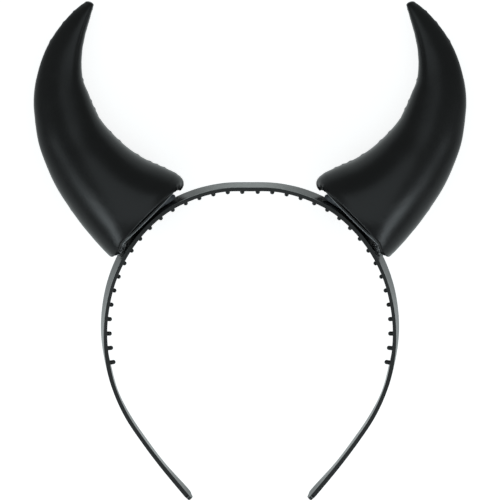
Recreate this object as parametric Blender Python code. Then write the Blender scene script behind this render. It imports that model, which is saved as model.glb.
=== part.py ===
"""Devil horns headband: a toothed plastic hair band with two hollow horns glued on by flat base plates.

The headband's own plane is drawn first: x to the right as the front is seen, v up towards the crown,
and w out of the front. An empty then lays the whole thing on its back, at rest on the horns.
"""
from math import cos, radians, sin, sqrt

import bmesh
import bpy
import numpy as np
from mathutils import Matrix, Vector

MM = 0.001
GAP = 0.3                   # clearance between pieces that touch, mm
EDGE_ROUND = 0.35           # bevel of the strip's corners, mm
EDGE_ROUND_SHARE = 0.3      # and at most this share of a side

# The strip, from the crown to the end of one leg, in mm. x and v follow the inner edge of its front.
# front and back are its thickness at those edges. flare is how much further out the back edge of the
# outer face lies than its front edge, and width is the strip's depth from front to back.
STRIP_COLUMNS = ("x", "v", "front", "back", "flare", "width")
STRIP_ROWS = np.array([
    (0.0, 60.4, 1.9, 1.9, 2.6, 9.0),
    (12.7, 60.0, 1.8, 1.8, 2.6, 9.0),
    (25.2, 56.7, 1.8, 1.8, 2.9, 9.0),
    (36.9, 50.9, 1.8, 1.8, 3.0, 9.0),
    (46.9, 42.2, 1.8, 1.8, 3.0, 9.0),
    (54.8, 31.7, 1.8, 1.8, 3.0, 9.0),
    (60.5, 19.6, 1.7, 1.8, 2.6, 8.9),
    (63.6, 6.7, 1.7, 1.9, 2.1, 8.8),
    (64.4, -6.0, 1.7, 2.2, 1.5, 8.6),
    (62.8, -19.5, 1.9, 2.5, 0.6, 8.4),
    (59.7, -30.4, 1.8, 2.2, 0.4, 8.2),
    (54.6, -41.2, 1.8, 2.6, 0.4, 8.0),
    (47.4, -52.0, 1.8, 2.7, 0.4, 7.8),
    (39.1, -62.9, 1.9, 2.8, 0.4, 7.5),
    (30.2, -73.7, 1.9, 3.5, 0.4, 7.2),
    (26.2, -78.4, 1.9, 3.5, 0.4, 7.0),
])
STRIP_STATIONS = 56         # an even number, so that a flat facet lies across the crown's middle
LEG_END_LENGTH = 3.4        # length over which a leg's end is rounded, mm
LEG_END_STEPS = 3
LEG_END_THICKNESS = 0.8     # least share of the thickness that the rounded end keeps
LEG_END_REACH = 0.97        # how far the last section goes into the rounding, as a share of its length

TEETH_PER_SIDE = 18
TOOTH_FIRST = 3.5           # from the crown's middle, along the strip, mm
TOOTH_PITCH = 6.6
TOOTH_RADIUS = 1.0
TOOTH_HEIGHT = 2.45         # out of the strip's inner face
TOOTH_ROOT = 0.8            # depth of its root inside the strip
TOOTH_SIDES = 8
# A tooth's outline above its root: height and radius, as shares of the whole
TOOTH_PROFILE = [(0.72, 1.0), (0.92, 0.72), (1.0, 0.25)]

# The horn in its own frame, in mm: u along the base towards the crown, s out of the base. Each row is a
# section from the convex side to the concave side of the curve. depth is its depth over its width, and
# skew is the share by which it is fuller on the concave side than in the middle.
HORN_COLUMNS = ("convex_u", "convex_s", "concave_u", "concave_s", "depth", "skew")
HORN_ROWS = np.array([
    (-22.9, 1.5, 25.0, 3.5, 0.76, 0.00),
    (-22.6, 7.9, 22.6, 10.2, 0.82, 0.03),
    (-21.8, 16.9, 19.6, 17.7, 0.88, 0.07),
    (-20.3, 26.3, 17.7, 26.4, 0.90, 0.10),
    (-18.1, 36.4, 17.2, 35.3, 0.87, 0.14),
    (-14.8, 45.8, 17.7, 43.5, 0.81, 0.18),
    (-9.8, 56.4, 19.6, 50.0, 0.76, 0.21),
    (-3.4, 65.2, 22.5, 57.1, 0.71, 0.24),
    (3.9, 73.2, 25.2, 63.1, 0.68, 0.28),
    (12.9, 79.7, 29.6, 68.4, 0.65, 0.32),
    (22.6, 84.4, 34.9, 73.0, 0.65, 0.35),
    (32.1, 86.9, 40.5, 76.8, 0.67, 0.38),
    (40.8, 87.8, 45.8, 79.8, 0.74, 0.42),
    (47.2, 87.6, 50.2, 82.1, 0.86, 0.46),
    (51.2, 87.1, 53.0, 83.6, 0.98, 0.49),
])
HORN_TIP = (53.5, 85.8)     # u and s of the point
SWEEP_BACK = 0.14           # how far the horn leans back from its base's own direction, over its height
HORN_STATIONS = 25
HORN_SIDES = 24
HORN_WALL = 1.4
CAVITY_END = 0.80           # how far up the horn its hollow reaches, as a share of the sections
RIM_ROUND = 1.1             # how far the rim turns in, mm
RIM_CORNER = 0.2            # where the turned rim's outer corner lies, as a share of that
RIM_DIP = 2.5               # how much lower the rim reaches at the two ends of the base, mm
RIM_DIP_SHARPNESS = 16      # power of the cosine that keeps the dip to the ends
BASE_ANGLE = radians(45)    # of the base's outward direction, up from the side
BASE_DISTANCE = 68.8        # of the horn's rim from the middle of the arch, mm
LEAN = radians(5.5)         # of the horns' bases towards the front

PLATE_CENTRE_U = 1.05
PLATE_HALF_LENGTH = 20.4
PLATE_HALF_DEPTH = 16.9
PLATE_THICKNESS = 1.2
PLATE_SIDES = 28

# Glue between plate and strip: start and end along the strip from the crown's middle, and half width, mm
GLUE = {
    "glue_upper": {"start": 33.8, "end": 40.5, "half_width": 3.9},
    "glue_lower": {"start": 61.5, "end": 67.3, "half_width": 3.6},
}
GLUE_STATIONS = 7
GLUE_MIN_THICKNESS = 0.25

BALANCE_V = 64.4            # height of the centre of mass in the headband's own plane, mm


def spline(rows, positions):
    """Reads a smooth curve through the rows at positions counted in rows: a Hermite cubic on each span,
    whose slope at a row is half the step from the row before to the row after."""
    slopes = np.gradient(rows, axis=0)
    start = np.clip(positions.astype(int), 0, len(rows) - 2)
    t = (positions - start)[:, None]
    a, b = rows[start], rows[start + 1]
    ma, mb = slopes[start], slopes[start + 1]
    return ((2 * t**3 - 3 * t**2 + 1) * a + (t**3 - 2 * t**2 + t) * ma
            + (3 * t**2 - 2 * t**3) * b + (t**3 - t**2) * mb)


def length_along(points):
    """Distance along a line of points, from its first point to each of them."""
    steps = np.linalg.norm(np.diff(points, axis=0), axis=1)
    return np.concatenate([[0.0], np.cumsum(steps)])


class Strip:
    """The strip's line, read at any distance from the crown's middle, towards the right where positive."""

    SAMPLES = 1201
    SLOPE_STEP = 0.5        # mm to either side over which the line's direction is taken

    def __init__(self):
        mirrored = STRIP_ROWS[:0:-1].copy()
        mirrored[:, STRIP_COLUMNS.index("x")] *= -1
        rows = np.vstack([mirrored, STRIP_ROWS])
        self.samples = spline(rows, np.linspace(0, len(rows) - 1, self.SAMPLES))
        along = length_along(self.samples[:, :2])
        self.half_length = along[-1] / 2
        self.along = along - self.half_length

    def column(self, name, distance):
        """One column of the table at each distance, in mm."""
        return np.interp(distance, self.along, self.samples[:, STRIP_COLUMNS.index(name)])

    def point(self, distance):
        return np.stack([self.column("x", distance), self.column("v", distance)], axis=1)

    def outward(self, distance):
        """Direction out of the arch, square to the line."""
        tangent = self.point(distance + self.SLOPE_STEP) - self.point(distance - self.SLOPE_STEP)
        tangent /= np.linalg.norm(tangent, axis=1)[:, None]
        return np.stack([-tangent[:, 1], tangent[:, 0]], axis=1)

    def face(self, distance, w, outer):
        """Points of the inner or the outer face at depth w."""
        front, back, flare, width = (self.column(name, distance) for name in STRIP_COLUMNS[2:])
        share = 0.5 - w / width                       # 0 at the front edge, 1 at the back edge
        outer_reach = front + flare * share
        inner_reach = (front + flare - back) * share
        reach = outer_reach if outer else inner_reach
        plane = self.point(distance) + self.outward(distance) * reach[:, None]
        return np.column_stack([plane, np.broadcast_to(w, distance.shape)])


def strip_ring(point, outward, front, back, flare, width, scale):
    """One section of the strip as 8 points: four corners, each cut by a small bevel. scale draws it in
    about its middle, in thickness and in width."""
    half = width / 2
    corners = np.array([(0, half), (front, half), (front + flare, -half), (front + flare - back, -half)])
    middle = corners.mean(axis=0)
    corners = middle + (corners - middle) * scale
    ring = []
    for i, corner in enumerate(corners):
        for neighbour in (corners[i - 1], corners[(i + 1) % 4]):
            side = neighbour - corner
            length = np.linalg.norm(side)
            ring.append(corner + side * min(EDGE_ROUND / length, EDGE_ROUND_SHARE))
    ring = np.array(ring)
    plane = point + np.outer(ring[:, 0], outward)
    return np.column_stack([plane, ring[:, 1]])


def loft(rings, close_ends=True):
    """Joins rings of points with quads, and fills the first and the last ring."""
    count = len(rings[0])
    points = np.vstack(rings)
    faces = []
    for r in range(len(rings) - 1):
        for k in range(count):
            a, b = r * count + k, r * count + (k + 1) % count
            faces.append((a, b, b + count, a + count))
    if close_ends:
        last = (len(rings) - 1) * count
        faces.append(tuple(range(count))[::-1])
        faces.append(tuple(range(last, last + count)))
    return points, faces


def make_object(name, points, faces, material, parent, smooth_angle=40):
    """One named solid, its faces turned outwards, shaded smooth but for edges sharper than the angle."""
    mesh = bpy.data.meshes.new(name)
    mesh.from_pydata((points * MM).tolist(), [], faces)
    work = bmesh.new()
    work.from_mesh(mesh)
    bmesh.ops.recalc_face_normals(work, faces=work.faces)
    work.to_mesh(mesh)
    work.free()
    mesh.shade_smooth()
    mesh.set_sharp_from_angle(angle=radians(smooth_angle))
    mesh.materials.append(material)
    item = bpy.data.objects.new(name, mesh)
    bpy.context.scene.collection.objects.link(item)
    item.parent = parent
    return item


def make_material(name, colour, roughness, metallic=0.0):
    material = bpy.data.materials.new(name)
    material.use_nodes = True
    shader = material.node_tree.nodes["Principled BSDF"]
    shader.inputs["Base Color"].default_value = (*colour, 1.0)
    shader.inputs["Roughness"].default_value = roughness
    shader.inputs["Metallic"].default_value = metallic
    return material


def make_tooth_pegs(strip, parent, material):
    """All teeth as one mesh of round-ended pegs, rooted in the strip's inner face at mid width."""
    spots = TOOTH_FIRST + TOOTH_PITCH * np.arange(TEETH_PER_SIDE)
    spots = np.concatenate([-spots[::-1], spots])
    middle = strip.face(spots, 0.0, outer=False)
    nearer_front = strip.face(spots, 1.0, outer=False)
    outline = [(-TOOTH_ROOT, 1.0)] + [(share * TOOTH_HEIGHT, radius) for share, radius in TOOTH_PROFILE]
    points, faces = [], []
    for spot, front, outward in zip(middle, nearer_front, strip.outward(spots)):
        across = Vector(front - spot).normalized()
        along = Vector((outward[1], -outward[0], 0.0))
        inward = along.cross(across).normalized()
        rings = []
        for height, radius in outline:
            centre = Vector(spot) + inward * height
            ring = []
            for k in range(TOOTH_SIDES):
                turn = radians(360 * (k + 0.5) / TOOTH_SIDES)
                offset = across * cos(turn) + along * sin(turn)
                ring.append(centre + offset * radius * TOOTH_RADIUS)
            rings.append(np.array(ring))
        peg_points, peg_faces = loft(rings)
        first = len(points)
        points.extend(peg_points)
        faces.extend(tuple(first + i for i in face) for face in peg_faces)
    pegs = make_object("tooth_pegs", np.array(points), faces, material, parent)
    pegs.hide_render = True
    pegs.display_type = "WIRE"
    return pegs


def make_headband(strip, parent, material):
    """The strip with its rows of teeth, one moulded piece."""
    body_end = strip.half_length - LEG_END_LENGTH
    distances = list(np.linspace(-body_end, body_end, STRIP_STATIONS))
    scales = [1.0] * STRIP_STATIONS
    for step in range(1, LEG_END_STEPS + 1):
        share = step / LEG_END_STEPS * LEG_END_REACH
        scale = sqrt(1 - share**2)
        distances = [-body_end - share * LEG_END_LENGTH] + distances + [body_end + share * LEG_END_LENGTH]
        scales = [scale] + scales + [scale]
    distances = np.array(distances)
    points, outwards = strip.point(distances), strip.outward(distances)
    columns = [strip.column(name, distances) for name in STRIP_COLUMNS[2:]]
    rings = []
    for point, outward, scale, *sizes in zip(points, outwards, scales, *columns):
        narrowing = np.array([max(scale, LEG_END_THICKNESS), scale])
        rings.append(strip_ring(point, outward, *sizes, narrowing))
    points, faces = loft(rings)
    headband = make_object("headband", points, faces, material, parent)
    union = headband.modifiers.new("teeth", "BOOLEAN")
    union.operation = "UNION"
    union.solver = "EXACT"
    union.object = make_tooth_pegs(strip, parent, material)
    return headband


def base_to_plane(u, s, w, side):
    """Points of a horn's own frame in the headband's: leant to the front, then set on the strip."""
    out = BASE_DISTANCE + s * cos(LEAN) - w * sin(LEAN)
    depth = w * cos(LEAN) + s * sin(LEAN)
    x = out * cos(BASE_ANGLE) - u * sin(BASE_ANGLE)
    v = out * sin(BASE_ANGLE) + u * cos(BASE_ANGLE)
    return np.stack([side * x, v, depth], axis=-1)


def horn_section(row, inset, turns):
    """An egg-shaped oval from the convex to the concave side, drawn in by inset. Gives u, s and w."""
    values = dict(zip(HORN_COLUMNS, row))
    convex = np.array([values["convex_u"], values["convex_s"]])
    concave = np.array([values["concave_u"], values["concave_s"]])
    centre = (convex + concave) / 2
    half = (concave - convex) / 2
    half_length = np.linalg.norm(half)
    reach = half_length - inset
    depth = half_length * values["depth"] - inset
    plane = centre + np.outer(np.cos(turns), half / half_length) * reach
    w = depth * np.sin(turns) * (1 + values["skew"] * np.cos(turns)) - SWEEP_BACK * plane[:, 1]
    return plane[:, 0], plane[:, 1], w


def make_horn(name, side, parent, material):
    """A hollow curved horn: outer skin from rim to point, then the cavity's skin back to the rim."""
    turns = np.radians(np.arange(HORN_SIDES) * 360 / HORN_SIDES)
    positions = np.linspace(0, len(HORN_ROWS) - 1, HORN_STATIONS)
    rows = spline(HORN_ROWS, positions)
    dip = -RIM_DIP * np.abs(np.cos(turns)) ** RIM_DIP_SHARPNESS

    cavity = [row for row, share in zip(rows, np.linspace(0, 1, HORN_STATIONS)) if share < CAVITY_END]
    rings = []
    for row in reversed(cavity):
        rings.append(base_to_plane(*horn_section(row, HORN_WALL, turns), side))
    rim_corner = (RIM_CORNER * RIM_ROUND, (1 - RIM_CORNER) * RIM_ROUND)
    for inset, rise in ((HORN_WALL + RIM_ROUND, 0.0), (RIM_ROUND, 0.0), rim_corner):
        u, _, w = horn_section(rows[0], inset, turns)
        rings.append(base_to_plane(u, dip + rise, w, side))
    for row in rows:
        rings.append(base_to_plane(*horn_section(row, 0.0, turns), side))
    points, faces = loft(rings, close_ends=False)

    count = HORN_SIDES
    last = len(points) - count
    cavity_end = rings[0].mean(axis=0)
    tip_u, tip_s = HORN_TIP
    tip = base_to_plane(tip_u, tip_s, -SWEEP_BACK * tip_s, side)
    points = np.vstack([points, cavity_end, tip])
    for k in range(count):
        following = (k + 1) % count
        faces.append((following, k, len(points) - 2))
        faces.append((last + k, last + following, len(points) - 1))
    return make_object(name, points, faces, material, parent, smooth_angle=60)


def make_plate(name, side, parent, material):
    """The flat oval that closes a horn and carries it on the strip."""
    turns = np.radians(np.arange(PLATE_SIDES) * 360 / PLATE_SIDES)
    u = PLATE_CENTRE_U + PLATE_HALF_LENGTH * np.cos(turns)
    w = PLATE_HALF_DEPTH * np.sin(turns)
    rings = [base_to_plane(u, np.full_like(u, s), w, side) for s in (-GAP - PLATE_THICKNESS, -GAP)]
    points, faces = loft(rings)
    return make_object(name, points, faces, material, parent)


def make_glue(name, side, strip, sizes, parent, material):
    """A wedge of set glue that fills the space between the plate's underside and the strip."""
    distances = np.linspace(sizes["start"], sizes["end"], GLUE_STATIONS)
    base = base_to_plane(0.0, 0.0, 0.0, 1)
    up = base_to_plane(0.0, 1.0, 0.0, 1) - base
    underside = -GAP - PLATE_THICKNESS - GAP
    lower = []
    for w in (sizes["half_width"], -sizes["half_width"]):
        clear = np.column_stack([strip.outward(distances) * GAP, np.zeros(GLUE_STATIONS)])
        lower.append(strip.face(distances, w, outer=True) + clear)
    rings = []
    for front, back in zip(*lower):
        upper = []
        for corner in (back, front):
            height = (corner - base) @ up
            upper.append(corner + up * max(underside - height, GLUE_MIN_THICKNESS))
        rings.append(np.array([front, back, *upper]) * np.array([side, 1, 1]))
    points, faces = loft(rings)
    return make_object(name, points, faces, material, parent)


def resting_slope(points):
    """Slope of the line under the object, in its v and w plane, that carries its weight: of all lines
    through two of its points with none below, the one whose points lie on both sides of the balance."""
    order = np.lexsort((points[:, 1], points[:, 0]))
    hull = []
    for v, w in points[order]:
        while len(hull) > 1:
            (v0, w0), (v1, w1) = hull[-2:]
            if (v1 - v0) * (w - w0) - (w1 - w0) * (v - v0) > 0:
                break
            hull.pop()
        hull.append((v, w))
    for (v0, w0), (v1, w1) in zip(hull, hull[1:]):
        if v0 <= BALANCE_V <= v1:
            return (w1 - w0) / (v1 - v0)
    raise ValueError("the centre of mass lies outside the object")


def lay_down(frame, items):
    """Turns the headband's plane so that it rests on its back, its lowest points on z = 0 and the middle
    of its length at y = 0."""
    points = np.array([vertex.co for item in items for vertex in item.data.vertices]) / MM
    turn = -np.arctan(resting_slope(points[:, 1:]))
    across = points[:, 1] * cos(turn) - points[:, 2] * sin(turn)
    height = points[:, 1] * sin(turn) + points[:, 2] * cos(turn)
    middle = (across.min() + across.max()) / 2
    shift = Matrix.Translation((0.0, -middle * MM, -height.min() * MM))
    frame.matrix_world = shift @ Matrix.Rotation(turn, 4, "X")


def build():
    for item in list(bpy.data.objects):
        bpy.data.objects.remove(item, do_unlink=True)
    frame = bpy.data.objects.new("headband_plane", None)
    bpy.context.scene.collection.objects.link(frame)

    band_plastic = make_material("band_plastic", (0.012, 0.013, 0.014), 0.22)
    horn_vinyl = make_material("horn_vinyl", (0.014, 0.015, 0.016), 0.42)
    plate_plastic = make_material("plate_plastic", (0.016, 0.017, 0.018), 0.35)
    set_glue = make_material("set_glue", (0.10, 0.11, 0.12), 0.25)

    strip = Strip()
    items = [make_headband(strip, frame, band_plastic)]
    for word, side in (("left", -1), ("right", 1)):
        items.append(make_horn("horn_" + word, side, frame, horn_vinyl))
        items.append(make_plate("horn_base_" + word, side, frame, plate_plastic))
        for name, sizes in GLUE.items():
            items.append(make_glue(name + "_" + word, side, strip, sizes, frame, set_glue))
    lay_down(frame, items)


build()
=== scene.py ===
# %% [markdown]
# The devil horns headband
#
# A moulded hair band with a row of small teeth, and two hollow horns glued to it on flat plates. The packed
# model gives the size and the place of every piece. This script gives each piece its fine surface and its
# finish, then lights it as a small studio would: a pale floor, and soft lamps that draw long highlights on
# black plastic.
#
# Everything is first worked out in the headband's own plane, where the real thing is drawn and mirrored
# easily: x to the right, v up towards the crown, w out of the front, all in millimetres. One turn then lays
# it on its back, as it rests by itself on the backs of its two horns.

# %% Load the frame
from math import cos, pi, radians, sin

import bpy
import numpy as np
from mathutils import Matrix, Vector


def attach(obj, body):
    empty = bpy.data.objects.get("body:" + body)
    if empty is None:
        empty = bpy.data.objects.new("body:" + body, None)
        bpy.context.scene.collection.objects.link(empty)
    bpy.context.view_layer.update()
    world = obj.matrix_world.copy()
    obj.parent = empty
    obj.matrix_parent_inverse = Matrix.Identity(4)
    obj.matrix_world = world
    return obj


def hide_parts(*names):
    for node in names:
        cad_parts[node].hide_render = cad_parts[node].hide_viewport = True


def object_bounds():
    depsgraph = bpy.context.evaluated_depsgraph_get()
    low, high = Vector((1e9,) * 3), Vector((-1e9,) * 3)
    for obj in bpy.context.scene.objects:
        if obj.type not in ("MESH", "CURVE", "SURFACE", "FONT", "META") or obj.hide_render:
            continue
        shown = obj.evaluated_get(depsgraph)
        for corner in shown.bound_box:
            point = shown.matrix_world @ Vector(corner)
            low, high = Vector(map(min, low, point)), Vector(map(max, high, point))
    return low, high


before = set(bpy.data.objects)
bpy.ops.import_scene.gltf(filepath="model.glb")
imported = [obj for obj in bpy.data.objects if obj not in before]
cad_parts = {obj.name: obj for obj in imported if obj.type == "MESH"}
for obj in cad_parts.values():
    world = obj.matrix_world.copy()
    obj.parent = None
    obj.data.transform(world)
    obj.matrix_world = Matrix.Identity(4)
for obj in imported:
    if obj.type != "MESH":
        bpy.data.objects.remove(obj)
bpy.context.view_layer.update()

# %% [markdown]
# From the headband's plane to the floor
#
# The object rests on the bulges of the horns' bases and on the horns' tips, so its plane leans by about 4
# degrees with the legs in the air. The turn and the shift are the ones that the solids were built with.
# Doing this once, on whole arrays of points, keeps every object at the origin, unturned and unscaled.

# %% The plane's turn and place
MM = 0.001
REST_TURN = radians(-3.8901)        # about x
PLANE_ORIGIN = np.array([0.0, -33.77, 22.99])
PLANE_TURN = np.array([
    [1.0, 0.0, 0.0],
    [0.0, cos(REST_TURN), -sin(REST_TURN)],
    [0.0, sin(REST_TURN), cos(REST_TURN)],
])


def to_floor(points):
    """Points of the headband's plane, in mm, in the world's metres: turned about x, then shifted."""
    return (points @ PLANE_TURN.T + PLANE_ORIGIN) * MM


# %% [markdown]
# The camera
#
# The photograph looks square at the headband's plane, so the camera stands on that plane's normal. It is a
# long lens from 1.3 m, and the picture's 500 pixels span 226.5 mm of the plane.

# %% Camera
PICTURE_PX = 500
MM_PER_PX = 0.453
CAMERA_DISTANCE = 1300.0            # mm from the headband's plane
CAMERA_V = 33.98                    # height of the picture's middle in the plane
SENSOR = 36.0
CLIP_NEAR, CLIP_FAR = 0.05, 50.0    # metres

camera_data = bpy.data.cameras.new("photo_camera")
camera_data.sensor_width = SENSOR
camera_data.lens = CAMERA_DISTANCE / (MM_PER_PX * PICTURE_PX) * SENSOR
camera_data.clip_start = CLIP_NEAR
camera_data.clip_end = CLIP_FAR
camera = bpy.data.objects.new("photo_camera", camera_data)
bpy.context.scene.collection.objects.link(camera)
camera_place = to_floor(np.array([0.0, CAMERA_V, CAMERA_DISTANCE]))
camera.matrix_world = Matrix.Translation(Vector(camera_place)) @ Matrix.Rotation(REST_TURN, 4, "X")
bpy.context.scene.camera = camera
print("camera at", [round(c, 3) for c in camera_place], "lens", round(camera_data.lens, 1))

# %% [markdown]
# A mesh from a grid of points
#
# Most pieces here are one surface that depends on two parameters, such as how far along a horn and how far
# round it. Its points come as an array of rows by columns. Each cell of the grid is a quad, and their four
# corner numbers can be written as whole arrays too, so no loop touches a single vertex. Columns close on
# themselves where the surface is a tube. A ring at an end is closed by a fan to one more point.

# %% Grid to mesh
def grid_quads(rows, columns):
    """Corner numbers of all the quads of a tube's grid: each cell takes its four neighbours, and the last
    column is followed by the first."""
    r = np.arange(rows - 1)[:, None] * columns
    k = np.arange(columns)[None, :]
    following = (k + 1) % columns
    cells = np.stack([r + k, r + following, r + columns + following, r + columns + k], axis=-1)
    return cells.reshape(-1, 4)


def fan(ring, pole, turned):
    """Triangles from a ring of point numbers to a pole, turned over on request."""
    following = np.roll(ring, -1)
    pairs = (following, ring) if turned else (ring, following)
    return np.stack([*pairs, np.full(len(ring), pole)], axis=-1)


def tube(grid, first_pole=None, last_pole=None):
    """Points and faces of a closed tube: the grid's quads, and a fan at each end to its pole, which is the
    ring's middle where none is given."""
    rows, columns = grid.shape[:2]
    first_pole = grid[0].mean(axis=0) if first_pole is None else first_pole
    last_pole = grid[-1].mean(axis=0) if last_pole is None else last_pole
    points = np.concatenate([grid.reshape(-1, 3), [first_pole, last_pole]])
    ring = np.arange(columns)
    count = rows * columns
    triangles = np.concatenate([fan(ring, count, True), fan(ring + count - columns, count + 1, False)])
    return points, grid_quads(rows, columns), triangles


def enclosed_volume(points, quads, triangles):
    """Volume inside a closed surface: the sum, over its triangles and the halves of its quads, of the
    volume that each spans with the origin. It is below zero where the faces look inwards."""
    corners = points[np.concatenate([triangles, quads[:, [0, 1, 2]], quads[:, [0, 2, 3]]])]
    return np.einsum("ij,ij->i", corners[:, 0], np.cross(corners[:, 1], corners[:, 2])).sum() / 6


def new_piece(name, points, quads, triangles):
    """A smooth-shaded object from points in the headband's plane, with its faces turned outwards."""
    volume = enclosed_volume(points, quads, triangles)
    if volume < 0:
        quads, triangles = quads[:, ::-1], triangles[:, ::-1]
    mesh = bpy.data.meshes.new(name)
    loops = np.concatenate([quads.ravel(), triangles.ravel()]).astype(np.int32)
    starts = np.concatenate([np.arange(len(quads)) * 4, len(quads) * 4 + np.arange(len(triangles)) * 3])
    mesh.vertices.add(len(points))
    mesh.vertices.foreach_set("co", to_floor(points).astype(np.float32).ravel())
    mesh.loops.add(len(loops))
    mesh.loops.foreach_set("vertex_index", loops)
    mesh.polygons.add(len(starts))
    mesh.polygons.foreach_set("loop_start", starts.astype(np.int32))
    mesh.update(calc_edges=True)
    mesh.validate()
    mesh.shade_smooth()
    piece = bpy.data.objects.new(name, mesh)
    bpy.context.scene.collection.objects.link(piece)
    cm3 = round(abs(volume) / 1000, 3)
    print(name, "points", len(points), "faces", len(mesh.polygons), "volume cm3", cm3)
    return piece


def paint(piece, name, values):
    """One number for each of a piece's points, for its material to read."""
    attribute = piece.data.attributes.new(name, "FLOAT", "POINT")
    attribute.data.foreach_set("value", values.astype(np.float32))


def smoothstep(low, high, value):
    """0 below low, 1 above high, and a smooth s-shaped cubic between."""
    t = np.clip((value - low) / (high - low), 0.0, 1.0)
    return t * t * (3 - 2 * t)


def spline(rows, positions):
    """A Hermite cubic through the rows, read at positions counted in rows: the slope at a row is half the
    step from the row before to the row after."""
    slopes = np.gradient(rows, axis=0)
    start = np.clip(positions.astype(int), 0, len(rows) - 2)
    t = (positions - start)[:, None]
    a, b, ma, mb = rows[start], rows[start + 1], slopes[start], slopes[start + 1]
    return ((2 * t**3 - 3 * t**2 + 1) * a + (t**3 - 2 * t**2 + t) * ma
            + (3 * t**2 - 2 * t**3) * b + (t**3 - t**2) * mb)


# %% [markdown]
# The strip
#
# The real strip is injection moulded in one shot with its teeth. It isn't a plain hoop: its back edge lies
# further out than its front edge, as a slice of a cone does, so from the front a thin band of the outer
# face shows along the crown, and of the inner face along the legs. A curve with a bevel would give one
# section all the way. Here a table gives the section at a few places, a smooth curve runs through them, and
# a rounded four-sided outline is carried along it.

# %% The strip's line
STRIP_COLUMNS = ("x", "v", "front", "back", "flare", "width")
STRIP_ROWS = np.array([
    (0.0, 60.4, 1.9, 1.9, 2.6, 9.0),
    (12.7, 60.0, 1.8, 1.8, 2.6, 9.0),
    (25.2, 56.7, 1.8, 1.8, 2.9, 9.0),
    (36.9, 50.9, 1.8, 1.8, 3.0, 9.0),
    (46.9, 42.2, 1.8, 1.8, 3.0, 9.0),
    (54.8, 31.7, 1.8, 1.8, 3.0, 9.0),
    (60.5, 19.6, 1.7, 1.8, 2.6, 8.9),
    (63.6, 6.7, 1.7, 1.9, 2.1, 8.8),
    (64.4, -6.0, 1.7, 2.2, 1.5, 8.6),
    (62.8, -19.5, 1.9, 2.5, 0.6, 8.4),
    (59.7, -30.4, 1.8, 2.2, 0.4, 8.2),
    (54.6, -41.2, 1.8, 2.6, 0.4, 8.0),
    (47.4, -52.0, 1.8, 2.7, 0.4, 7.8),
    (39.1, -62.9, 1.9, 2.8, 0.4, 7.5),
    (30.2, -73.7, 1.9, 3.5, 0.4, 7.2),
    (26.2, -78.4, 1.9, 3.5, 0.4, 7.0),
])
STRIP_SAMPLES = 2401
CHORD_REACH = 0.8                   # mm to either side over which the line's direction is taken

mirrored = STRIP_ROWS[:0:-1].copy()
mirrored[:, STRIP_COLUMNS.index("x")] *= -1
strip_rows = np.vstack([mirrored, STRIP_ROWS])
strip_samples = spline(strip_rows, np.linspace(0, len(strip_rows) - 1, STRIP_SAMPLES))
steps = np.linalg.norm(np.diff(strip_samples[:, :2], axis=0), axis=1)
strip_along = np.concatenate([[0.0], np.cumsum(steps)])
STRIP_HALF_LENGTH = strip_along[-1] / 2
strip_along -= STRIP_HALF_LENGTH
print("strip length, mm:", round(2 * STRIP_HALF_LENGTH, 1))


def strip_column(name, distance):
    """One column of the table at distances along the strip from the crown's middle."""
    return np.interp(distance, strip_along, strip_samples[:, STRIP_COLUMNS.index(name)])


def strip_point(distance):
    """The inner edge of the strip's front, as x and v."""
    return np.stack([strip_column("x", distance), strip_column("v", distance)], axis=-1)


def strip_outward(distance):
    """Direction out of the arch: the chord across a short reach to either side, turned by a quarter."""
    chord = strip_point(distance + CHORD_REACH) - strip_point(distance - CHORD_REACH)
    chord /= np.linalg.norm(chord, axis=-1, keepdims=True)
    return np.stack([-chord[..., 1], chord[..., 0]], axis=-1)


def strip_face(distance, w, outer):
    """Points of the inner or the outer face at depth w. Both faces run straight from front to back."""
    front, back, flare, width = (strip_column(name, distance) for name in STRIP_COLUMNS[2:])
    share = 0.5 - w / width
    reach = front + flare * share if outer else (front + flare - back) * share
    plane = strip_point(distance) + strip_outward(distance) * reach[..., None]
    return np.concatenate([plane, np.broadcast_to(w, reach.shape)[..., None]], axis=-1)


# %% [markdown]
# The strip's section is a flat box whose four corners are rounded by a mould's usual small radius. It is
# sheared to the strip's real four corners. The legs' ends are rounded by shrinking the section as a quarter
# of a circle. A painted highlight makes the outer corner of the front paler, and a painted reflection makes
# the crown's outer face paler. Both are a number painted on the points, which the band's material reads.
# Below the horns the painted highlight is mostly taken off again as painted shadow, and along the legs it
# fades out.

# %% The strip's surface
STRIP_STATIONS = 620
STRIP_CORNER = 0.16
CORNER_STEPS = 6
FACE_POINTS = 3                     # points along each face, between its two corners
EDGE_GUARD = 0.02                   # share of a face within which paint on a corner fades out
LEG_END_LENGTH = 3.4
LEG_END_STEPS = 14
LEG_END_THICKNESS = 0.8
LEG_END_TAPER = 3                   # how fast the thickness goes at the very end
LEAST_SHRINK = 0.02
HORN_SHADOW = 0.85                      # share of the painted highlight taken off as painted shadow
SHADOW_START = (28.0, 34.0)        # stretches, in mm from the crown, over which things fade in or out
SHADOW_END = (68.0, 74.0)
LEG_FADE = (98.0, 110.0)
CROWN_FADE = (0.0, 27.0)
CROWN_REFLECTION = 0.8


def strip_distances():
    """Stations along the strip, closer together on the rounded ends, and how far each is from the end."""
    body_end = STRIP_HALF_LENGTH - LEG_END_LENGTH
    body = np.linspace(-body_end, body_end, STRIP_STATIONS)
    turn = np.linspace(0, pi / 2, LEG_END_STEPS + 1)[1:]
    end = body_end + LEG_END_LENGTH * np.sin(turn)
    return np.concatenate([-end[::-1], body, end]), np.concatenate([turn[::-1], 0 * body, turn])


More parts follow.
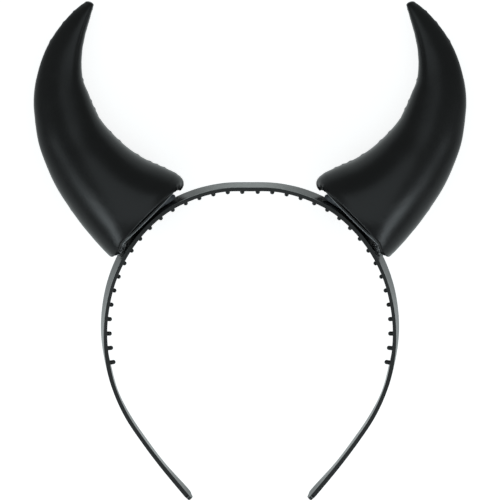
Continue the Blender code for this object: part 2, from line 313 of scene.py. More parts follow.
def rounded_box(half_thickness, half_width, radius):
    """Outline of a flat box round its middle, as shares of its half thickness and its half width: a quarter
    circle at each corner, and a few points along each face between them."""
    turn = np.linspace(0, pi / 2, CORNER_STEPS)
    first = np.stack([half_thickness - radius * (1 - np.cos(turn)),
                      half_width - radius * (1 - np.sin(turn))], axis=-1)
    corners = [first, first[::-1] * (-1, 1), -first, first[::-1] * (1, -1)]
    outline = []
    for corner, following in zip(corners, corners[1:] + corners[:1]):
        outline.append(corner)
        steps = np.linspace(EDGE_GUARD, 1 - EDGE_GUARD, FACE_POINTS)[:, None]
        outline.append(corner[-1] + steps * (following[0] - corner[-1]))
    outline = np.concatenate(outline)
    return outline[:, 0] / half_thickness, outline[:, 1] / half_width


distances, end_turns = strip_distances()
across, deep = rounded_box(STRIP_ROWS[0, 2] / 2, STRIP_ROWS[0, 5] / 2, STRIP_CORNER)
front, back, flare, width = (strip_column(name, distances)[:, None] for name in STRIP_COLUMNS[2:])
narrow = np.maximum(np.cos(end_turns), LEAST_SHRINK)[:, None]
thin = np.maximum(narrow, LEG_END_THICKNESS * np.minimum(1, narrow * LEG_END_TAPER))
w_share = 0.5 - deep[None, :] * narrow / 2          # 0 at the front edge, 1 at the back edge
thickness = front + (back - front) * w_share
inner_reach = (front + flare - back) * w_share
reach = inner_reach + thickness * (0.5 + across[None, :] * thin / 2)
plane = strip_point(distances)[:, None, :] + strip_outward(distances)[:, None, :] * reach[..., None]
strip_grid = np.concatenate([plane, (deep[None, :] * narrow * width / 2)[..., None]], axis=-1)
band_strip = new_piece("band_strip", *tube(strip_grid))

# %% The strip's painted highlight, reflection and shadow
# Painted light: a highlight along the front's outer corner, dimmed under the horns as painted shadow and
# fading along the legs, and a reflection on the crown's outer face.
from_crown = np.abs(distances)
horn_shadow = HORN_SHADOW * smoothstep(*SHADOW_START, from_crown) * (1 - smoothstep(*SHADOW_END, from_crown))
corner_highlight = (1 - horn_shadow) * (1 - smoothstep(*LEG_FADE, from_crown))
crown_reflection = CROWN_REFLECTION * (1 - smoothstep(*CROWN_FADE, from_crown))
on_corner = np.arange(len(across)) < CORNER_STEPS
on_outer_face = np.arange(len(across)) >= len(across) - FACE_POINTS
light_paint = corner_highlight[:, None] * on_corner + crown_reflection[:, None] * on_outer_face
paint(band_strip, "painted_light", np.append(light_paint, [0, 0]))
print("worn points:", int((light_paint > 0).sum()), "of", light_paint.size)

# %% [markdown]
# The teeth
#
# The 36 teeth keep the band from slipping. Each is a small peg with a round end and a soft fillet where it
# grows out of the strip. A peg is a profile turned about its own axis, so the whole row is one product of
# arrays: the pegs' places, times the profile, times the turn. The fillet's foot lies just under the strip's
# face, where the mould has run the two together.

# %% The teeth's surface
TEETH_PER_SIDE = 18
TOOTH_FIRST = 3.5
TOOTH_PITCH = 6.6
TOOTH_RADIUS = 1.0
TOOTH_HEIGHT = 2.45
TOOTH_FILLET = 0.35
TOOTH_AROUND = 20
FILLET_STEPS = 6
FILLET_SINK = 0.08                  # how far the fillet's foot lies inside the strip
ROOT_DEPTH = 0.5
CAP_STEPS = 8
CAP_LENGTH = 0.95
CAP_TURN = 0.96 * pi / 2            # the last ring's place on the round end
CAP_POWER = 0.9                     # below 1 the end is fuller than a ball


def tooth_profile():
    """Height and radius from foot to point: a quarter circle of fillet that opens to the foot, a short
    straight stem, and a rounded end."""
    fillet_turn = np.linspace(0, pi / 2, FILLET_STEPS)
    fillet = np.stack([TOOTH_FILLET * (1 - np.cos(fillet_turn)) - FILLET_SINK,
                       TOOTH_RADIUS + TOOTH_FILLET * (1 - np.sin(fillet_turn))], axis=-1)
    cap_turn = np.linspace(0, CAP_TURN, CAP_STEPS)
    cap = np.stack([TOOTH_HEIGHT - CAP_LENGTH * (1 - np.sin(cap_turn)),
                    TOOTH_RADIUS * np.cos(cap_turn) ** CAP_POWER], axis=-1)
    root = np.array([[-ROOT_DEPTH, TOOTH_RADIUS + TOOTH_FILLET]])
    return np.concatenate([root, fillet, cap])


def tooth_grids(spots):
    """Points of every peg: its place on the strip's inner face, plus height along the face's inward
    direction, plus radius times the turn in the face."""
    middle = strip_face(spots, np.zeros_like(spots), outer=False)
    nearer_front = strip_face(spots, np.ones_like(spots), outer=False)
    across_face = nearer_front - middle
    across_face /= np.linalg.norm(across_face, axis=-1, keepdims=True)
    outward_dir = strip_outward(spots)
    along_face = np.stack([outward_dir[:, 1], -outward_dir[:, 0], 0 * spots], axis=-1)
    inward = np.cross(along_face, across_face)
    profile = tooth_profile()
    turn = np.arange(TOOTH_AROUND) * 2 * pi / TOOTH_AROUND
    ring = (across_face[:, None, :] * np.cos(turn)[None, :, None]
            + along_face[:, None, :] * np.sin(turn)[None, :, None])
    return (middle[:, None, None, :] + inward[:, None, None, :] * profile[None, :, None, 0:1]
            + ring[:, None, :, :] * profile[None, :, None, 1:2])


def join_tubes(grids):
    """One mesh from several tubes of the same grid size: each tube's numbers are shifted by its points."""
    parts = [tube(grid) for grid in grids]
    size = len(parts[0][0])
    points = np.concatenate([part[0] for part in parts])
    quads = np.concatenate([part[1] + size * i for i, part in enumerate(parts)])
    triangles = np.concatenate([part[2] + size * i for i, part in enumerate(parts)])
    return points, quads, triangles


one_side = TOOTH_FIRST + TOOTH_PITCH * np.arange(TEETH_PER_SIDE)
spots = np.concatenate([-one_side[::-1], one_side])
band_teeth = new_piece("band_teeth", *join_tubes(tooth_grids(spots)))

# %% [markdown]
# The horns
#
# A real one is a thin moulded shell in two halves, so a fine ridge of flash, trimmed by hand and full of
# nicks, runs along its two edges. Carving or cloth tools would do for one horn, but a rule serves better
# for two that mirror each other: a table says where the convex and the concave side of the curve lie, each
# section between them is close to an ellipse, and the ridge is a narrow bump on that ellipse at its two
# ends. Just above the plate the wall draws in a little, as a heel. The rim there turns in by a small radius
# at the front and a large one at the two ends, where it also hangs lower, uneven from the trimming.

# %% The horn's own frame
HORN_COLUMNS = ("convex_u", "convex_s", "concave_u", "concave_s", "depth", "skew")
HORN_ROWS = np.array([
    (-22.9, 1.5, 25.0, 3.5, 0.76, 0.00),
    (-22.6, 7.9, 22.6, 10.2, 0.82, 0.03),
    (-21.8, 16.9, 19.6, 17.7, 0.88, 0.07),
    (-20.3, 26.3, 17.7, 26.4, 0.90, 0.10),
    (-18.1, 36.4, 17.2, 35.3, 0.87, 0.14),
    (-14.8, 45.8, 17.7, 43.5, 0.81, 0.18),
    (-9.8, 56.4, 19.6, 50.0, 0.76, 0.21),
    (-3.4, 65.2, 22.5, 57.1, 0.71, 0.24),
    (3.9, 73.2, 25.2, 63.1, 0.68, 0.28),
    (12.9, 79.7, 29.6, 68.4, 0.65, 0.32),
    (22.6, 84.4, 34.9, 73.0, 0.65, 0.35),
    (32.1, 86.9, 40.5, 76.8, 0.67, 0.38),
    (40.8, 87.8, 45.8, 79.8, 0.74, 0.42),
    (47.2, 87.6, 50.2, 82.1, 0.86, 0.46),
    (50.4, 87.1, 52.2, 83.2, 0.98, 0.49),
])
HORN_TIP = (52.5, 85.5)
SWEEP_BACK = 0.14
BASE_ANGLE = radians(45)
BASE_DISTANCE = 68.8
LEAN = radians(5.5)


def base_to_plane(u, s, w):
    """The right horn's own frame in the headband's plane: u along the base towards the crown, s out of it,
    w to the front. It leans to the front, then is set on the strip at 45 degrees."""
    out = BASE_DISTANCE + s * cos(LEAN) - w * sin(LEAN)
    depth = w * cos(LEAN) + s * sin(LEAN)
    x = out * cos(BASE_ANGLE) - u * sin(BASE_ANGLE)
    v = out * sin(BASE_ANGLE) + u * cos(BASE_ANGLE)
    return np.stack(np.broadcast_arrays(x, v, depth), axis=-1)


def mirror_x(points, side):
    return points * np.array([side, 1.0, 1.0])


# %% The horn's surface
HORN_AROUND = 160
HORN_ALONG = 300
HORN_WALL = 1.4
HORN_TIP_STEPS = 8
RIM_STEPS = 10
RIM_ROUND = {"front": 0.9, "concave": 4.0, "convex": 1.6}
RIM_DIP = {"front": 0.0, "concave": 2.8, "convex": 2.5}
RIM_SWELL = 0.3
HEEL_DEPTH = 0.7                    # how far the front and back draw in towards the rim
HEEL_HEIGHT = 7.0
HEEL_POWER = 2
TRIM_DEPTH = 0.7
TRIM_RANGE = (-0.3, 1.0)
TRIM_SEED = 8
LUMP_TURN = pi - 0.47               # the lump beside the convex end, as an angle round the section
LUMP_WIDTH = 0.24
LUMP_DEPTH = 1.3
END_POWER = 4                       # how closely the ends' rim keeps to the ends
TRIM_POWER = 6
DIP_SOFTNESS = 0.2                  # how round the start of the dip is
LIP_OVERLAP = 0.3
CAVITY_END = 0.80
CAVITY_STEPS = 60
FLASH_HEIGHT = 0.25
FLASH_WIDTH = 0.035                 # half width of the ridge, as an angle round the section
FLASH_NICKS = {0.0: (0.06, 0.095, 0.124, 0.176, 0.257, 0.303, 0.429, 0.464, 0.569),
               pi: (0.749, 0.827, 0.892)}
NICK_LENGTH = 0.007
FLASH_END = 0.93                    # where the ridge starts to die out
FLASH_CUTS = 34
FLASH_UNEVENNESS = 1.6
FLASH_BLUR = (0.25, 0.5, 0.25)
FLASH_SHARE = 0.6                   # the cuts' height, where a nick's is 1

horn_turns = np.arange(HORN_AROUND) * 2 * pi / HORN_AROUND


def to_the_ends(values, share):
    """A value round the section: that of the front and back, and a share of the way to the value of the
    concave end, at no turn, or of the convex end, at half a turn."""
    end = np.where(np.cos(horn_turns) > 0, values["concave"], values["convex"])
    return values["front"] + (end - values["front"]) * share


sideways = np.abs(np.cos(horn_turns))
dip_end = np.hypot(1.0, DIP_SOFTNESS)
dip_share = (dip_end - np.hypot(np.sin(horn_turns), DIP_SOFTNESS)) / (dip_end - DIP_SOFTNESS)
trimmed = np.random.default_rng(TRIM_SEED).uniform(*TRIM_RANGE, HORN_AROUND)
lump = np.exp(-(((horn_turns - LUMP_TURN) / LUMP_WIDTH) ** 4))
rim_round = to_the_ends(RIM_ROUND, sideways**END_POWER)
rim_low = -to_the_ends(RIM_DIP, dip_share) - TRIM_DEPTH * trimmed * sideways**TRIM_POWER - LUMP_DEPTH * lump
rim_swell = RIM_SWELL * np.clip(np.cos(horn_turns), 0, 1) ** TRIM_POWER
print("rim's lowest and highest place, mm:", rim_low.min().round(2), rim_low.max().round(2))


def horn_sections(rows, inset, extra=0.0):
    """Rings of the horn in its own frame, one for each row: an egg-shaped oval from the convex to the
    concave side, drawn in by inset and pushed out by extra, which may differ from point to point. Its
    middle runs back with the height, so the horn stands upright on its leaning base."""
    values = dict(zip(HORN_COLUMNS, rows.T))
    convex = np.stack([values["convex_u"], values["convex_s"]], axis=-1)
    concave = np.stack([values["concave_u"], values["concave_s"]], axis=-1)
    centre, half = (convex + concave) / 2, (concave - convex) / 2
    half_length = np.linalg.norm(half, axis=-1, keepdims=True)
    reach = (half_length - inset + extra) * np.cos(horn_turns)
    fuller = 1 + values["skew"][:, None] * np.cos(horn_turns)
    depth = (half_length * values["depth"][:, None] - inset + extra) * np.sin(horn_turns) * fuller
    plane = centre[:, None, :] + reach[..., None] * (half / half_length)[:, None, :]
    return plane[..., 0], plane[..., 1], depth - SWEEP_BACK * plane[..., 1]


def heel(heights):
    """How far the wall is drawn in at heights above the rim: a power curve that starts at the heel's height
    and is deepest at the rim, on the front and the back, with nothing at the two ends."""
    return HEEL_DEPTH * np.clip(1 - heights / HEEL_HEIGHT, 0, 1) ** HEEL_POWER * np.abs(np.sin(horn_turns))


def flash_ridge(shares, seed):
    """Height of the flash: a narrow bump at the two ends of the ellipse, times a height along the horn made
    of steps of random length and height, as a trimming knife leaves."""
    rng = np.random.default_rng(seed)
    ridge = np.zeros((len(shares), HORN_AROUND))
    for middle in (0.0, pi):
        cuts = np.sort(rng.uniform(0, 1, FLASH_CUTS))
        heights = rng.uniform(0.0, 1.0, FLASH_CUTS + 1) ** FLASH_UNEVENNESS
        along = heights[np.searchsorted(cuts, shares)]
        soft = np.convolve(np.pad(along, 1, mode="edge"), FLASH_BLUR, mode="valid")
        from_nick = (shares[:, None] - np.array(FLASH_NICKS[middle])[None, :]) / NICK_LENGTH
        soft = FLASH_SHARE * soft + np.exp(-(from_nick**2)).max(axis=1)
        soft *= 1 - smoothstep(FLASH_END, 1.0, shares)
        away = np.abs((horn_turns - middle + pi) % (2 * pi) - pi)
        ridge += FLASH_HEIGHT * soft[:, None] * np.exp(-(away / FLASH_WIDTH) ** 2)[None, :]
    return ridge


def horn_points(seed):
    """The whole skin as one grid, from the cavity's end down to the rim, round it, and up to the point,
    where the last ring shrinks to the tip as a quarter of a circle."""
    last = len(HORN_ROWS) - 1
    shares = np.linspace(0, 1, HORN_ALONG)
    rows = spline(HORN_ROWS, shares * last)
    drawn_in = heel(horn_sections(rows, 0.0)[1])
    outside = base_to_plane(*horn_sections(rows, drawn_in, flash_ridge(shares, seed)))

    cavity_shares = np.linspace(CAVITY_END, 0, CAVITY_STEPS)
    inside = base_to_plane(*horn_sections(spline(HORN_ROWS, cavity_shares * last), HORN_WALL))

    turn = np.linspace(0, pi / 2, RIM_STEPS)
    rim = []
    for t in turn:
        height = rim_low + rim_round * (1 - cos(t))
        u, _, w = horn_sections(rows[:1], heel(height) + rim_round * (1 - sin(t)), rim_swell)
        rim.append(base_to_plane(u, height, w))
    u, _, w = horn_sections(rows[:1], np.maximum(rim_round, HORN_WALL) + heel(rim_low) + LIP_OVERLAP)
    lip = base_to_plane(u, rim_low, w)

    centre = outside[-1].mean(axis=0)
    turn = np.linspace(0, pi / 2, HORN_TIP_STEPS)[1:-1, None, None]
    cap = centre + (outside[-1] - centre) * np.cos(turn) + (tip - centre) * np.sin(turn)
    return np.concatenate([inside, lip, *rim, outside[1:], cap])


tip = base_to_plane(*HORN_TIP, -SWEEP_BACK * HORN_TIP[1])
horn_grid = horn_points(seed=3)
horns = {}
for word, side in (("left", -1), ("right", 1)):
    points, quads, triangles = tube(mirror_x(horn_grid, side), last_pole=mirror_x(tip, side))
    horns[word] = new_piece("horn_shell_" + word, points, quads, triangles)

# %% [markdown]
# The base plates
#
# Each horn is closed by an oval cut from sheet. A painted highlight on the lower part of its cut edge gives
# a fine bright line below the horn's rim, which is the thin line that the photograph shows. It is a disc
# whose edge is rounded by a quarter circle at top and bottom, so the arris can catch the light.

# %% The plates' surface
PLATE_CENTRE_U = 1.05
PLATE_HALF_LENGTH = 20.4
PLATE_HALF_DEPTH = 16.9
PLATE_TOP = -0.3
PLATE_THICKNESS = 1.2
PLATE_ROUND = 0.3
PLATE_AROUND = 160
PLATE_CORNER_STEPS = 6
PLATE_RINGS = (12.0, 6.0, 1.5)      # insets of the rings on the flat faces
CUT_HEIGHT = 0.36                   # height of the painted highlight on the cut edge


def plate_profile():
    """Inset and height of the rings, from the middle of the underside, round the edge, to the middle of the
    top."""
    corner = np.linspace(0, pi / 2, PLATE_CORNER_STEPS)
    low = np.stack([PLATE_ROUND * (1 - np.sin(corner)),
                    PLATE_ROUND * (1 - np.cos(corner)) - PLATE_THICKNESS], axis=-1)
    high = np.stack([low[::-1, 0], -PLATE_THICKNESS - low[::-1, 1]], axis=-1)
    inner = np.array([(inset, -PLATE_THICKNESS) for inset in PLATE_RINGS])
    inner_top = inner[::-1] * (1, 0)
    above_cut = np.array([[0.0, CUT_HEIGHT - PLATE_THICKNESS]])
    return np.concatenate([inner, low, above_cut, high, inner_top])


def plate_grid(profile):
    """An ellipse for each ring, drawn in by the ring's inset, at its height below the rim."""
    turn = np.arange(PLATE_AROUND) * 2 * pi / PLATE_AROUND
    u = PLATE_CENTRE_U + (PLATE_HALF_LENGTH - profile[:, 0:1]) * np.cos(turn)
    w = (PLATE_HALF_DEPTH - profile[:, 0:1]) * np.sin(turn)
    return base_to_plane(u, PLATE_TOP + profile[:, 1:2], w)


profile = plate_profile()
# The pale part of the cut edge is a painted highlight, carried on the points.
on_cut = (profile[:, 0] < PLATE_RINGS[-1]) & (profile[:, 1] < CUT_HEIGHT - PLATE_THICKNESS)
plates = {}
for word, side in (("left", -1), ("right", 1)):
    plates[word] = new_piece("plate_" + word, *tube(mirror_x(plate_grid(profile), side)))
    paint(plates[word], "painted_light", np.append(np.repeat(on_cut, PLATE_AROUND), [0, 0]))

# %% [markdown]
# The glue
#
# Two patches of set glue hold each plate to the strip: a smooth wedge on the crown's side and a lumpy bead
# on the other. Both fill the space between the strip's outer face and the plate, so their surface is read
# from those two: a closed tube whose section runs from the one to the other, with rounded sides. The bead's
# lumps are a few soft waves that push its sides in and out.

# %% The glue's surface
GLUE = {
    "upper": {"start": 32.2, "end": 43.0, "middle": -1.5, "half_width": 2.4, "lumps": 0.05},
    "lower": {"start": 61.3, "end": 68.4, "middle": -1.0, "half_width": 2.8, "lumps": 0.55},
}
GLUE_GAP = 0.3
GLUE_ALONG = 60
GLUE_AROUND = 48
GLUE_POWER = 0.45                   # of the section's soft box
GLUE_SPAN = 0.985                   # place of the first and the last ring, where 1 is the very end
GLUE_END_POWER = 4                  # how late along it the glue starts to shrink
GLUE_LEAST = 0.25                   # least thickness, mm
GLUE_WAVES = ((9.0, 3, 0.0), (17.0, -2, 1.0), (4.0, 5, 0.0))    # along, round and shift of each wave


def soft_box(turns, power):
    """A square of half side 1 with round corners: signed powers of the cosine and the sine."""
    c, s = np.cos(turns), np.sin(turns)
    return np.sign(c) * np.abs(c) ** power, np.sign(s) * np.abs(s) ** power


def glue_grid(start, end, middle, half_width, lumps):
    """Rings along the strip. A point at height share h of a ring lies h of the way from the strip's face to
    the plate's underside, and at depth w; both come from a soft box. Ends shrink as a circle does."""
    share = np.linspace(-GLUE_SPAN, GLUE_SPAN, GLUE_ALONG)
    distance = (start + end) / 2 + share * (end - start) / 2
    turn = (np.arange(GLUE_AROUND) + 0.5) * 2 * pi / GLUE_AROUND
    deep, high = soft_box(turn, GLUE_POWER)
    shrink = np.sqrt(1 - share**GLUE_END_POWER)
    w = middle + half_width * deep[None, :] * shrink[:, None]
    where = np.broadcast_to(distance[:, None], w.shape)
    foot = strip_face(where, w, outer=True)
    outward_dir = strip_outward(where)
    foot = foot + np.concatenate([outward_dir * GLUE_GAP, np.zeros_like(w)[..., None]], axis=-1)
    base = base_to_plane(0.0, 0.0, 0.0)
    up = base_to_plane(0.0, 1.0, 0.0) - base
    height = np.maximum(PLATE_TOP - PLATE_THICKNESS - GLUE_GAP - (foot - base) @ up, GLUE_LEAST)
    rise = 0.5 + 0.5 * high[None, :] * shrink[:, None]
    waves = sum(np.sin(a * share[:, None] + b * turn[None, :] + c) for a, b, c in GLUE_WAVES)
    side_push = lumps * waves * np.cos(turn)[None, :]
    points = foot + up * (height * rise)[..., None]
    points[..., 2] += side_push
    return points


glue = {}
for level, sizes in GLUE.items():
    for word, side in (("left", -1), ("right", 1)):
        name = level + "_" + word
        glue[name] = new_piece("glue_blob_" + name, *tube(mirror_x(glue_grid(**sizes), side)))

# %% [markdown]
# Materials
#
# All the plastics are black, so what the eye reads is gloss. Each gets its own roughness and a fine bump.
# Two effects that they share, a fine moulded grain and a little dust and rubbing, are node groups that are
# built once and placed with different values. Both are made of noise on the object's own coordinates, which
# no edge or seam of the mesh can show through.

# %% Shared node groups
def new_group(name, inputs, outputs):
    """An empty shader node group with float inputs, given with their defaults, and named outputs."""
    group = bpy.data.node_groups.new(name, "ShaderNodeTree")
    for socket, value in inputs.items():
        made = group.interface.new_socket(socket, in_out="INPUT", socket_type="NodeSocketFloat")
        made.default_value = value
    for socket, kind in outputs.items():
        group.interface.new_socket(socket, in_out="OUTPUT", socket_type=kind)
    return group, group.nodes.new("NodeGroupInput"), group.nodes.new("NodeGroupOutput")


def node(tree, kind, inputs=None, **settings):
    """A node with its settings and its input values or links. An input given as a socket is linked."""
    made = tree.nodes.new(kind)
    for key, value in settings.items():
        setattr(made, key, value)
    for key, value in (inputs or {}).items():
        if isinstance(value, bpy.types.NodeSocket):
            tree.links.new(value, made.inputs[key])
        else:
            made.inputs[key].default_value = value
    return made


def mix_colours(tree, factor, first, second):
    """The colour that is the first where the factor is 0 and the second where it is 1."""
    mix = node(tree, "ShaderNodeMix", {"Factor": factor, "A": first, "B": second}, data_type="RGBA")
    return mix.outputs["Result"]


def make_grain_group():
    """Moulded grain: two sizes of noise added up as a height in metres, for a Bump node."""
    inputs = {"Fine Scale": 2600.0, "Broad Scale": 260.0, "Broad Share": 0.4}
    group, given, out = new_group("moulded_grain", inputs, {"Height": "NodeSocketFloat"})
    place = node(group, "ShaderNodeTexCoord").outputs["Object"]
    fine = node(group, "ShaderNodeTexNoise",
                {"Vector": place, "Scale": given.outputs["Fine Scale"], "Detail": 3.0, "Roughness": 0.6})
    broad = node(group, "ShaderNodeTexNoise",
                 {"Vector": place, "Scale": given.outputs["Broad Scale"], "Detail": 2.0, "Roughness": 0.5})
    shares = {"Factor": given.outputs["Broad Share"], "A": fine.outputs["Fac"], "B": broad.outputs["Fac"]}
    mixed = node(group, "ShaderNodeMix", shares, data_type="FLOAT")
    group.links.new(mixed.outputs["Result"], out.inputs["Height"])
    return group


HANDLING_MASKS = ("Rub", "Specks", "Scratches")


def make_wear_group():
    """Handling marks: soft cloudy rubbing, thin scratches and dust specks, each a mask from 0 to 1."""
    inputs = {"Cloud Scale": 45.0, "Speck Scale": 900.0, "Speck Amount": 0.25}
    group, given, out = new_group("handling", inputs, dict.fromkeys(HANDLING_MASKS, "NodeSocketFloat"))
    place = node(group, "ShaderNodeTexCoord").outputs["Object"]
    cloud = node(group, "ShaderNodeTexNoise",
                 {"Vector": place, "Scale": given.outputs["Cloud Scale"], "Detail": 4.0, "Roughness": 0.65,
                  "Distortion": 0.6})
    rub = node(group, "ShaderNodeMapRange",
               {"Value": cloud.outputs["Fac"], "From Min": 0.42, "From Max": 0.68})
    speck = node(group, "ShaderNodeTexVoronoi", {"Vector": place, "Scale": given.outputs["Speck Scale"]})
    near = node(group, "ShaderNodeMapRange",
                {"Value": speck.outputs["Distance"], "From Min": 0.16, "From Max": 0.05})
    chosen = node(group, "ShaderNodeMath",
                  {0: speck.outputs["Color"], 1: given.outputs["Speck Amount"]}, operation="LESS_THAN")
    specks = node(group, "ShaderNodeMath",
                  {0: near.outputs["Result"], 1: chosen.outputs["Value"]}, operation="MULTIPLY")
    turned = node(group, "ShaderNodeMapping",
                  {"Vector": place, "Rotation": (0.3, 0.2, 0.9), "Scale": (900.0, 35.0, 200.0)})
    lines = node(group, "ShaderNodeTexNoise",
                 {"Vector": turned.outputs["Vector"], "Scale": 1.0, "Detail": 2.0})
    scratches = node(group, "ShaderNodeMapRange",
                     {"Value": lines.outputs["Fac"], "From Min": 0.70, "From Max": 0.78})
    group.links.new(rub.outputs["Result"], out.inputs["Rub"])
    group.links.new(specks.outputs["Value"], out.inputs["Specks"])
    group.links.new(scratches.outputs["Result"], out.inputs["Scratches"])
    return group


grain_group = make_grain_group()
wear_group = make_wear_group()
print("node groups:", grain_group.name, wear_group.name)

# %% One recipe for the black plastics
RUB_DUST = 0.35                     # how dusty a rubbed place is, where a speck is 1
BUMP_DISTANCE = 0.001


def black_plastic(name, colour, dusty, roughness, rough_spread, bump, fine_scale, broad_share, specks,
                  pale=None):
    """Principled plastic. The colour goes a little towards dust in specks and rubbed clouds, and to pale
    where the
    points carry painted light: painted highlights and reflections, dimmed where painted shadow lies. The
    roughness runs from its low to its high value with the same clouds and with the scratches, and the grain
    moves the normal."""
    material = bpy.data.materials.new(name)
    material.use_nodes = True
    tree = material.node_tree
    shader = tree.nodes["Principled BSDF"]
    wear = node(tree, "ShaderNodeGroup", node_tree=wear_group)
    wear.inputs["Speck Amount"].default_value = specks
    grain = node(tree, "ShaderNodeGroup", node_tree=grain_group)
    grain.inputs["Fine Scale"].default_value = fine_scale
    grain.inputs["Broad Share"].default_value = broad_share
    soft_rub = node(tree, "ShaderNodeMath", {0: wear.outputs["Rub"], 1: RUB_DUST}, operation="MULTIPLY")
    dust = node(tree, "ShaderNodeMath",
                {0: wear.outputs["Specks"], 1: soft_rub.outputs["Value"]}, operation="MAXIMUM")
    tone = mix_colours(tree, dust.outputs["Value"], (*colour, 1.0), (*dusty, 1.0))
    marks = node(tree, "ShaderNodeMath",
                 {0: wear.outputs["Rub"], 1: wear.outputs["Scratches"]}, operation="MAXIMUM")
    rough = node(tree, "ShaderNodeMapRange",
                 {"Value": marks.outputs["Value"], "To Min": roughness, "To Max": roughness + rough_spread})
    lift = node(tree, "ShaderNodeBump",
                {"Height": grain.outputs["Height"], "Distance": BUMP_DISTANCE, "Strength": bump})
    # Painted light from the points: the colour goes to pale for painted highlights and reflections.
    if pale:
        light_paint = node(tree, "ShaderNodeAttribute", attribute_name="painted_light")
        tone = mix_colours(tree, light_paint.outputs["Fac"], tone, (*pale, 1.0))
    tree.links.new(tone, shader.inputs["Base Color"])
    tree.links.new(rough.outputs["Result"], shader.inputs["Roughness"])
    tree.links.new(lift.outputs["Normal"], shader.inputs["Normal"])
    return material


horn_vinyl = black_plastic("horn_vinyl", (0.0045, 0.0048, 0.0052), (0.010, 0.0105, 0.011), roughness=0.28,
                           rough_spread=0.05, bump=0.05, fine_scale=2400.0, broad_share=0.5, specks=0.02)
# The band's pale is a painted highlight on its front's outer corner and a painted reflection on the crown's
# face.
band_plastic = black_plastic("band_plastic", (0.005, 0.0054, 0.0056), (0.02, 0.021, 0.022), roughness=0.17,
                             rough_spread=0.12, bump=0.03, fine_scale=3200.0, broad_share=0.6, specks=0.03,
                             pale=(0.42, 0.43, 0.42))
# The plate's pale is a painted highlight on its cut edge.
plate_plastic = black_plastic("plate_plastic", (0.012, 0.0125, 0.013), (0.03, 0.03, 0.032), roughness=0.30,
                              rough_spread=0.15, bump=0.10, fine_scale=1800.0, broad_share=0.4, specks=0.05,
                              pale=(0.26, 0.27, 0.28))
print("plastics:", horn_vinyl.name, band_plastic.name, plate_plastic.name)

# %% Set glue
GLUE_CLOUD = (0.40, 0.58)           # where in the noise its dark and its light grey lie


def glue_material(name, dark, light, roughness, bump):
    """Set hot glue over black plastic: clouds of dark and light grey, with a glossy wrinkled skin. A light
    grey near white is a painted glint.
    """
    material = bpy.data.materials.new(name)
    material.use_nodes = True
    tree = material.node_tree
    shader = tree.nodes["Principled BSDF"]
    place = node(tree, "ShaderNodeTexCoord").outputs["Object"]
    cloud = node(tree, "ShaderNodeTexNoise",
                 {"Vector": place, "Scale": 700.0, "Detail": 4.0, "Roughness": 0.7})
    tone = node(tree, "ShaderNodeValToRGB", {"Fac": cloud.outputs["Fac"]})
    for element, position, colour in zip(tone.color_ramp.elements, GLUE_CLOUD, (dark, light)):
        element.position = position
        element.color = (*colour, 1.0)
    lift = node(tree, "ShaderNodeBump",
                {"Height": cloud.outputs["Fac"], "Distance": BUMP_DISTANCE, "Strength": bump})
    tree.links.new(tone.outputs["Color"], shader.inputs["Base Color"])
    tree.links.new(lift.outputs["Normal"], shader.inputs["Normal"])
    shader.inputs["Roughness"].default_value = roughness
    return material


set_glue = {
    "upper": glue_material("smooth_glue", (0.13, 0.145, 0.17), (0.17, 0.185, 0.21), 0.3, 0.04),
    # On the lumpy bead the grey is the glue's own tone and the near-white clouds are painted glints.
    "lower": glue_material("lumpy_glue", (0.03, 0.032, 0.034), (0.95, 0.96, 0.97), 0.10, 0.6),
}
print("glue:", ", ".join(material.name for material in set_glue.values()))

# %% [markdown]
# Dressing the frame
#
# Each piece takes its material, rides on the part's one body, and hides the solid that it stands for. The
# strip and its teeth are two surfaces here and one moulding in the part.

# %% Dress the frame
def dress(piece, material, body, slot, *nodes):
    piece.data.materials.append(material)
    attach(piece, body)
    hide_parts(*nodes)


dress(band_strip, band_plastic, "root", "band", "headband")
dress(band_teeth, band_plastic, "root", "band", "headband")
for word in ("left", "right"):
    dress(horns[word], horn_vinyl, "root", "horn", "horn_" + word)
    dress(plates[word], plate_plastic, "root", "base", "horn_base_" + word)
    for level in GLUE:
        dress(glue[level + "_" + word], set_glue[level], "root", "glue", "glue_" + level + "_" + word)
print("dressed pieces:", 2 + len(horns) + len(plates) + len(glue))

# %% [markdown]
# The studio
#
# Black gloss shows its surroundings, so the lamps are placed for what they draw. On each side a long soft
# lamp gives the highlight down the horn, and a shorter one below it the second highlight near the horn's
# base. A wide lamp by the camera fills the faces that look straight at it. The floor and a bright surround
# give the pale rims and the grey of the strip's faces, which are seen at a flat angle. How bright the floor
# and the surround look to the camera and how bright the gloss mirrors them are set apart.

# %% The floor
FLOOR_HALF = 6.0
FLOOR_GREY = 0.62
FLOOR_ROUGHNESS = 0.9
FLOOR_GLOSS = 0.1
WHITE = (1.0, 1.0, 1.0, 1.0)
SEEN_GLOW = 0.8
MIRRORED_GLOW = 0.50
MIRRORED_COLOUR = (0.93, 1.0, 0.99)


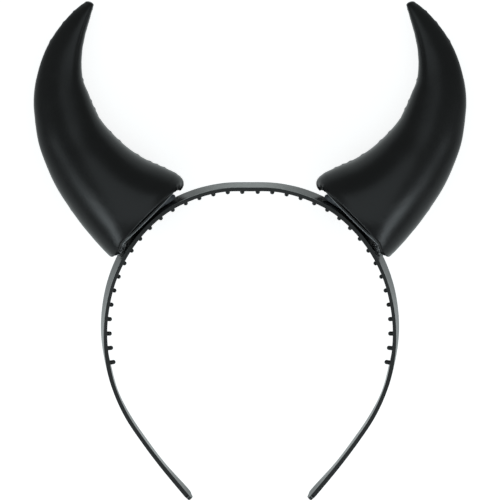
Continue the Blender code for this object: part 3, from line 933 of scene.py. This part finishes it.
def make_floor():
    """A pale floor that glows like a light table. In the gloss the glow falls off with the cosine of the
    angle at which a ray meets it, which is one minus what Layer Weight calls facing."""
    mesh = bpy.data.meshes.new("floor")
    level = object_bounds()[0][2]
    corners = [(-FLOOR_HALF, -FLOOR_HALF, level), (FLOOR_HALF, -FLOOR_HALF, level),
               (FLOOR_HALF, FLOOR_HALF, level), (-FLOOR_HALF, FLOOR_HALF, level)]
    mesh.from_pydata(corners, [], [(0, 1, 2, 3)])
    floor = bpy.data.objects.new("floor", mesh)
    bpy.context.scene.collection.objects.link(floor)
    material = bpy.data.materials.new("pale_floor")
    material.use_nodes = True
    tree = material.node_tree
    shader = tree.nodes["Principled BSDF"]
    shader.inputs["Base Color"].default_value = (FLOOR_GREY, FLOOR_GREY, FLOOR_GREY, 1.0)
    shader.inputs["Roughness"].default_value = FLOOR_ROUGHNESS
    shader.inputs["Specular IOR Level"].default_value = FLOOR_GLOSS
    facing = node(tree, "ShaderNodeLayerWeight", {"Blend": 0.5})
    seen = node(tree, "ShaderNodeLightPath").outputs["Is Camera Ray"]
    colour = mix_colours(tree, seen, (*MIRRORED_COLOUR, 1.0), WHITE)
    tree.links.new(colour, shader.inputs["Emission Color"])
    mirrored = node(tree, "ShaderNodeMapRange",
                    {"Value": facing.outputs["Facing"], "To Min": MIRRORED_GLOW, "To Max": 0.0})
    glow = node(tree, "ShaderNodeMapRange",
                {"Value": seen, "To Min": mirrored.outputs["Result"], "To Max": SEEN_GLOW})
    tree.links.new(glow.outputs["Result"], shader.inputs["Emission Strength"])
    mesh.materials.append(material)
    print("floor at, mm:", round(level / MM, 2))


make_floor()

# %% The lamps
LAMP_COLOUR = (0.86, 0.96, 1.0)
LAMP_TARGET = np.array([0.0, 40.0, 0.0])
LAMP_COLUMNS = ("azimuth", "off_axis", "turn", "distance", "size", "brightness")
LAMPS = {
    "lamp_right": (-44, 64, 117, 1.2, (0.30, 1.1), 2.7),
    "lamp_left": (224, 64, -117, 1.2, (0.30, 1.1), 2.7),
    "lamp_low_right": (-14, 66, 90, 1.2, (0.26, 0.70), 0.9),
    "lamp_low_left": (194, 66, -90, 1.2, (0.26, 0.70), 0.9),
    "lamp_over": (90, 0, 0, 1.8, (2.6, 2.0), 0.48),
}


def soft_lamp(name, azimuth, off_axis, turn, distance, size, brightness):
    """A rectangular lamp that looks at the object from off_axis degrees off the camera's direction, turned
    round it by azimuth: 0 is the picture's right, 90 its top. Its second side runs along the circle round
    the camera's direction where turn is 90, and towards that direction where turn is 0. A lamp's power is
    its brightness times its area times pi."""
    a, t, r = radians(azimuth), radians(off_axis), radians(turn)
    away = np.array([sin(t) * cos(a), sin(t) * sin(a), cos(t)])
    round_axis = np.array([-sin(a), cos(a), 0.0])
    to_axis = np.cross(away, round_axis)
    second = to_axis * cos(r) - round_axis * sin(r)
    axes = PLANE_TURN @ np.stack([np.cross(second, away), second, away], axis=-1)
    light = bpy.data.lights.new(name, "AREA")
    light.shape = "RECTANGLE"
    light.size, light.size_y = size
    light.energy = brightness * size[0] * size[1] * pi
    light.color = LAMP_COLOUR
    lamp = bpy.data.objects.new(name, light)
    bpy.context.scene.collection.objects.link(lamp)
    place = to_floor(LAMP_TARGET) + axes[:, 2] * distance
    lamp.matrix_world = Matrix.Translation(Vector(place)) @ Matrix(axes.tolist()).to_4x4()
    lamp.visible_camera = False


for name, placing in LAMPS.items():
    soft_lamp(name, **dict(zip(LAMP_COLUMNS, placing)))
print("lamps:", ", ".join(LAMPS))

# %% The surround
def make_surround(seen, mirrored):
    """A world that is white where the camera sees it and dim where the gloss mirrors it."""
    world = bpy.data.worlds.new("surround")
    bpy.context.scene.world = world
    world.use_nodes = True
    tree = world.node_tree
    by_camera = node(tree, "ShaderNodeLightPath").outputs["Is Camera Ray"]
    strength = node(tree, "ShaderNodeMapRange", {"Value": by_camera, "To Min": mirrored, "To Max": seen})
    background = tree.nodes["Background"]
    colour = mix_colours(tree, by_camera, (*MIRRORED_COLOUR, 1.0), WHITE)
    tree.links.new(colour, background.inputs["Color"])
    tree.links.new(strength.outputs["Result"], background.inputs["Strength"])
    print("surround: seen", seen, "mirrored", mirrored)


make_surround(seen=1.0, mirrored=0.18)
bpy.context.scene.view_settings.view_transform = "Standard"
